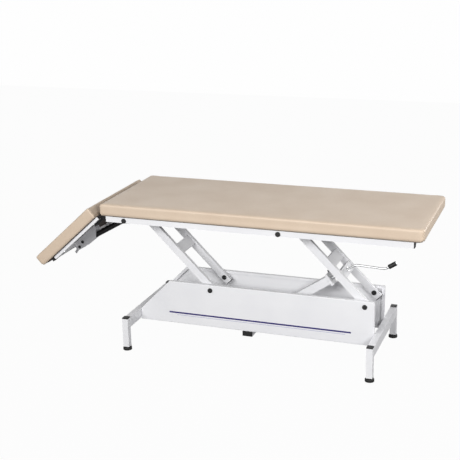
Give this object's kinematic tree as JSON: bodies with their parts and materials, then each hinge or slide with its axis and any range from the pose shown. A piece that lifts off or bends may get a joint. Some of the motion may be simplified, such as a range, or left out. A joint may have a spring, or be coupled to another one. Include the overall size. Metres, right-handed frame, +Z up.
{
  "type": "height-adjustable massage table",
  "caption": "Padded treatment table with a hinged head section on a gas spring, raised on parallel arms by a hand crank and spindle in a low panelled base.",
  "frame": {"origin": "on the floor, under the middle of the whole table as it stands", "axes": "+X along the table towards the foot end, where the crank is; +Y towards the far side; +Z up"},
  "size_m": [1.9203, 0.6, 0.7522],
  "materials": {
    "beige_leatherette": "semi-matt",
    "black_paint": "satin",
    "black_plastic": "matt",
    "black_rubber": "matt",
    "dark_board": "matt",
    "dark_steel": "satin",
    "grey_paint": "satin",
    "natural_plastic": "matt",
    "plated_steel": "satin",
    "white_powder_coat": "satin"
  },
  "bodies": {
    "base": {"foot_crossbar_left": "white_powder_coat", "foot_crossbar_right": "white_powder_coat", "foot_posts": "white_powder_coat", "post_caps": "black_plastic", "foot_inserts": "black_plastic", "round_feet": "black_rubber", "side_panel_near": "white_powder_coat", "side_panel_far": "white_powder_coat", "mid_cross_tube": "white_powder_coat", "mid_tube_plugs": "black_plastic", "strut_foot_bracket": "white_powder_coat", "base_pivot_bolts": "plated_steel", "base_pivot_spacers": "white_powder_coat", "base_pivot_caps": "black_plastic"},
    "arm_left": {"arm_left_rail_near": "white_powder_coat", "arm_left_rail_far": "white_powder_coat", "arm_left_cross_tube": "white_powder_coat", "arm_left_bushes": "natural_plastic", "arm_left_plugs": "black_plastic"},
    "arm_right": {"arm_right_rail_near": "white_powder_coat", "arm_right_rail_far": "white_powder_coat", "arm_right_cross_tube": "white_powder_coat", "arm_right_bushes": "natural_plastic", "arm_right_plugs": "black_plastic"},
    "top": {"top_rail_near": "white_powder_coat", "top_rail_far": "white_powder_coat", "board_screws": "plated_steel", "top_head_end_tube": "white_powder_coat", "top_foot_end_tube": "white_powder_coat", "top_inner_tubes": "white_powder_coat", "top_rail_plugs": "black_plastic", "upper_axles": "plated_steel", "axle_caps": "black_plastic", "axle_spacers": "white_powder_coat", "main_board": "dark_board", "main_cushion": "beige_leatherette", "head_hinge_plates": "black_paint", "head_hinge_pins": "dark_steel", "gas_spring_hanger": "black_paint"},
    "head": {"head_side_tubes": "white_powder_coat", "head_lugs": "black_paint", "head_tube_plugs": "black_plastic", "head_board_screws": "plated_steel", "head_cross_tube": "white_powder_coat", "head_board": "dark_board", "head_cushion": "beige_leatherette", "head_bracket": "grey_paint", "head_bracket_pins": "dark_steel"},
    "lever": {"release_lever": "grey_paint"},
    "gas_rod": {"gas_rod": "plated_steel"},
    "gas_cylinder": {"gas_cylinder": "black_paint", "gas_cylinder_pin": "plated_steel"},
    "swivel": {"swivel_bar": "white_powder_coat"},
    "strut": {"strut_tube": "white_powder_coat", "strut_foot_pin": "plated_steel", "strut_nut": "white_powder_coat"},
    "crank": {"crank_spindle": "plated_steel"},
    "grip": {"crank_grip": "black_plastic"}
  },
  "joints": [
    {"name": "lift", "type": "hinge", "parent": "base", "child": "arm_left", "pos_m": [-0.1077, 0, 0.3], "axis": [0, 1, 0], "range_deg": [-14, 15]},
    {"name": "arm_right_swing", "type": "hinge", "parent": "base", "child": "arm_right", "pos_m": [0.6643, 0, 0.3], "axis": [0, 1, 0], "range_deg": [-14, 15]},
    {"name": "top_level", "type": "hinge", "parent": "arm_left", "child": "top", "pos_m": [-0.47893, 0, 0.67123], "axis": [0, 1, 0], "range_deg": [-15, 14]},
    {"name": "spindle_swivel", "type": "hinge", "parent": "arm_right", "child": "swivel", "pos_m": [0.54183, 0, 0.42813], "axis": [0, 1, 0], "range_deg": [-16, 15]},
    {"name": "strut_travel", "type": "slide", "parent": "swivel", "child": "strut", "axis": [-0.8339, 0, -0.5519], "range_m": [-0.042, 0.045]},
    {"name": "crank_spin", "type": "hinge", "parent": "swivel", "child": "crank", "pos_m": [0.54183, 0, 0.42813], "axis": [0.8339, 0, 0.5519], "range_deg": [-3000, 3210]},
    {"name": "grip_spin", "type": "hinge", "parent": "crank", "child": "grip", "pos_m": [0.76609, 0, 0.47703], "axis": [0.8339, 0, 0.5519], "continuous": true},
    {"name": "head_tilt", "type": "hinge", "parent": "top", "child": "head", "pos_m": [-0.60273, 0, 0.66823], "axis": [0, 1, 0], "range_deg": [-38, 42]},
    {"name": "gas_rod_swing", "type": "hinge", "parent": "head", "child": "gas_rod", "pos_m": [-0.81001, -0.075, 0.47998], "axis": [0, 1, 0], "range_deg": [-3, 3]},
    {"name": "gas_spring_stroke", "type": "slide", "parent": "gas_rod", "child": "gas_cylinder", "axis": [0.8701, 0, 0.4929], "range_m": [-0.04, 0.0435]},
    {"name": "release_lever_pull", "type": "hinge", "parent": "head", "child": "lever", "pos_m": [-0.82918, -0.075, 0.45196], "axis": [0, 1, 0], "range_deg": [0, 12], "stiffness_Nm_per_rad": 0.6, "springref_deg": -5.73}
  ],
  "couplings": [
    {"joint": "arm_right_swing", "follows": "lift", "ratio": 1},
    {"joint": "top_level", "follows": "lift", "ratio": -1},
    {"joint": "spindle_swivel", "follows": "lift", "ratio": -1.055},
    {"joint": "strut_travel", "follows": "lift", "m_per_rad": 0.17},
    {"joint": "crank_spin", "follows": "lift", "ratio": 213.63},
    {"joint": "gas_rod_swing", "follows": "head_tilt", "ratio": -0.07},
    {"joint": "gas_spring_stroke", "follows": "head_tilt", "m_per_rad": 0.059}
  ]
}
